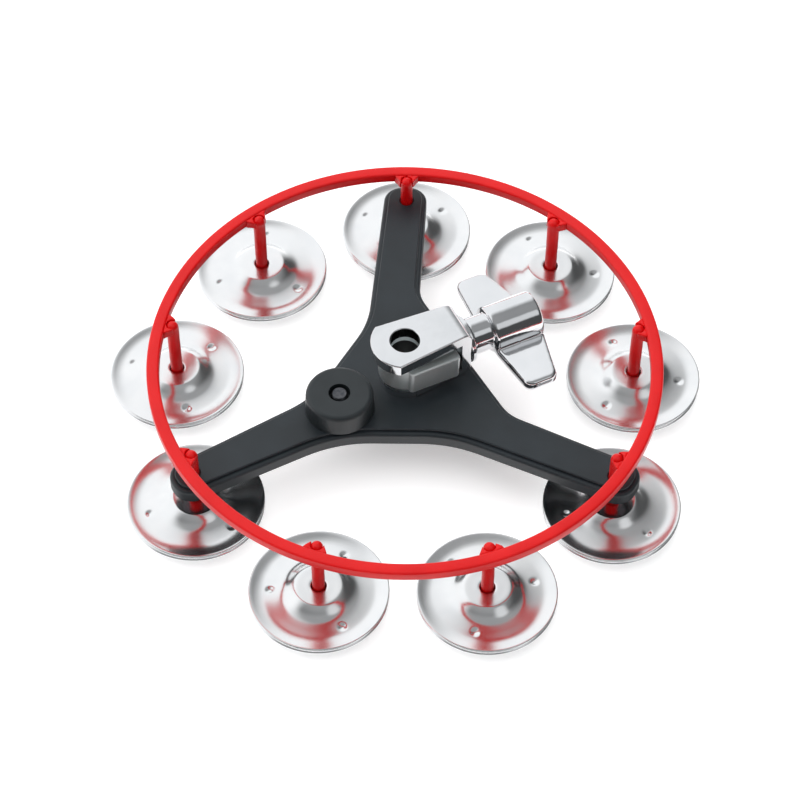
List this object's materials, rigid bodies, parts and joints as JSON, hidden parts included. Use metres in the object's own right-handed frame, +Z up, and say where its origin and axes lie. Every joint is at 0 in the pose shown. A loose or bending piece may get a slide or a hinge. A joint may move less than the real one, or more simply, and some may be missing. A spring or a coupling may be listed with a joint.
{
  "type": "tambourine",
  "caption": "Headless tambourine with a red steel hoop, pairs of loose jingles on pins, a black three-armed spider and a chromed rod clamp with a wing nut.",
  "frame": {"origin": "on the rod clamp's bore axis, level with the middle of the hoop's bar", "axes": "+Z up along the rod bore, away from the pin heads; +Y along the spider's back arm; the clamp's bolt leaves at 27 degrees from +X towards +Y"},
  "size_m": [0.2388, 0.236, 0.0498],
  "materials": {
    "red_coat": "thick gloss red powder coat",
    "jingle_steel": "polished nickel-plated sheet steel",
    "spider_black": "satin moulded black",
    "clamp_chrome": "bright chrome plate",
    "weight_black": "satin black paint",
    "dark_steel": "dark plated steel"
  },
  "bodies": {
    "carrier": {"hoop": "red_coat", "jingle_pin_1": "red_coat", "jingle_pin_2": "red_coat", "jingle_pin_3": "red_coat", "jingle_pin_4": "red_coat", "jingle_pin_5": "red_coat", "jingle_pin_6": "red_coat", "jingle_pin_7": "red_coat", "jingle_pin_8": "red_coat", "jingle_pin_9": "red_coat", "pin_weld_1": "red_coat", "pin_weld_2": "red_coat", "pin_weld_3": "red_coat", "pin_weld_4": "red_coat", "pin_weld_5": "red_coat", "pin_weld_6": "red_coat", "pin_weld_7": "red_coat", "pin_weld_8": "red_coat", "pin_weld_9": "red_coat", "spider": "spider_black", "clamp_bracket": "clamp_chrome", "clamp_washer": "clamp_chrome", "balance_weight": "weight_black", "weight_screw": "dark_steel", "weight_nut": "dark_steel", "bracket_screws": "dark_steel", "arm_ring_1": "dark_steel", "arm_ring_2": "dark_steel", "arm_ring_3": "dark_steel"},
    "eye_bolt": {"eye_bolt": "clamp_chrome"},
    "wing_nut": {"wing_nut": "clamp_chrome"},
    "jingle_lower_1": {"jingle_lower_1": "jingle_steel"},
    "jingle_upper_1": {"jingle_upper_1": "jingle_steel"},
    "jingle_lower_2": {"jingle_lower_2": "jingle_steel"},
    "jingle_upper_2": {"jingle_upper_2": "jingle_steel"},
    "jingle_lower_3": {"jingle_lower_3": "jingle_steel"},
    "jingle_upper_3": {"jingle_upper_3": "jingle_steel"},
    "jingle_lower_4": {"jingle_lower_4": "jingle_steel"},
    "jingle_upper_4": {"jingle_upper_4": "jingle_steel"},
    "jingle_lower_5": {"jingle_lower_5": "jingle_steel"},
    "jingle_upper_5": {"jingle_upper_5": "jingle_steel"},
    "jingle_lower_6": {"jingle_lower_6": "jingle_steel"},
    "jingle_upper_6": {"jingle_upper_6": "jingle_steel"},
    "jingle_lower_7": {"jingle_lower_7": "jingle_steel"},
    "jingle_upper_7": {"jingle_upper_7": "jingle_steel"},
    "jingle_lower_8": {"jingle_lower_8": "jingle_steel"},
    "jingle_upper_8": {"jingle_upper_8": "jingle_steel"},
    "jingle_lower_9": {"jingle_lower_9": "jingle_steel"},
    "jingle_upper_9": {"jingle_upper_9": "jingle_steel"}
  },
  "joints": [
    {"name": "wing_nut_turn", "type": "hinge", "parent": "carrier", "child": "wing_nut", "pos_m": [0, 0, 0.0004], "axis": [-0.8906, -0.4538, 0.0314], "range_deg": [0, 648]},
    {"name": "eye_bolt_draw", "type": "slide", "parent": "carrier", "child": "eye_bolt", "axis": [0.8906, 0.4538, -0.0314], "range_m": [0, 0.00185]},
    {"name": "lower_jingle_lift_1", "type": "slide", "parent": "carrier", "child": "jingle_lower_1", "axis": [0, 0, 1], "range_m": [0, 0.003]},
    {"name": "upper_jingle_lift_1", "type": "slide", "parent": "jingle_lower_1", "child": "jingle_upper_1", "axis": [0, 0, 1], "range_m": [0, 0.003]},
    {"name": "lower_jingle_lift_2", "type": "slide", "parent": "carrier", "child": "jingle_lower_2", "axis": [0, 0, 1], "range_m": [0, 0.009]},
    {"name": "upper_jingle_lift_2", "type": "slide", "parent": "jingle_lower_2", "child": "jingle_upper_2", "axis": [0, 0, 1], "range_m": [0, 0.009]},
    {"name": "lower_jingle_lift_3", "type": "slide", "parent": "carrier", "child": "jingle_lower_3", "axis": [0, 0, 1], "range_m": [0, 0.009]},
    {"name": "upper_jingle_lift_3", "type": "slide", "parent": "jingle_lower_3", "child": "jingle_upper_3", "axis": [0, 0, 1], "range_m": [0, 0.009]},
    {"name": "lower_jingle_lift_4", "type": "slide", "parent": "carrier", "child": "jingle_lower_4", "axis": [0, 0, 1], "range_m": [0, 0.003]},
    {"name": "upper_jingle_lift_4", "type": "slide", "parent": "jingle_lower_4", "child": "jingle_upper_4", "axis": [0, 0, 1], "range_m": [0, 0.003]},
    {"name": "lower_jingle_lift_5", "type": "slide", "parent": "carrier", "child": "jingle_lower_5", "axis": [0, 0, 1], "range_m": [0, 0.009]},
    {"name": "upper_jingle_lift_5", "type": "slide", "parent": "jingle_lower_5", "child": "jingle_upper_5", "axis": [0, 0, 1], "range_m": [0, 0.009]},
    {"name": "lower_jingle_lift_6", "type": "slide", "parent": "carrier", "child": "jingle_lower_6", "axis": [0, 0, 1], "range_m": [0, 0.009]},
    {"name": "upper_jingle_lift_6", "type": "slide", "parent": "jingle_lower_6", "child": "jingle_upper_6", "axis": [0, 0, 1], "range_m": [0, 0.009]},
    {"name": "lower_jingle_lift_7", "type": "slide", "parent": "carrier", "child": "jingle_lower_7", "axis": [0, 0, 1], "range_m": [0, 0.003]},
    {"name": "upper_jingle_lift_7", "type": "slide", "parent": "jingle_lower_7", "child": "jingle_upper_7", "axis": [0, 0, 1], "range_m": [0, 0.003]},
    {"name": "lower_jingle_lift_8", "type": "slide", "parent": "carrier", "child": "jingle_lower_8", "axis": [0, 0, 1], "range_m": [0, 0.009]},
    {"name": "upper_jingle_lift_8", "type": "slide", "parent": "jingle_lower_8", "child": "jingle_upper_8", "axis": [0, 0, 1], "range_m": [0, 0.009]},
    {"name": "lower_jingle_lift_9", "type": "slide", "parent": "carrier", "child": "jingle_lower_9", "axis": [0, 0, 1], "range_m": [0, 0.009]},
    {"name": "upper_jingle_lift_9", "type": "slide", "parent": "jingle_lower_9", "child": "jingle_upper_9", "axis": [0, 0, 1], "range_m": [0, 0.009]}
  ],
  "couplings": [
    {"joint": "eye_bolt_draw", "follows": "wing_nut_turn", "m_per_rad": 0.00015915}
  ]
}
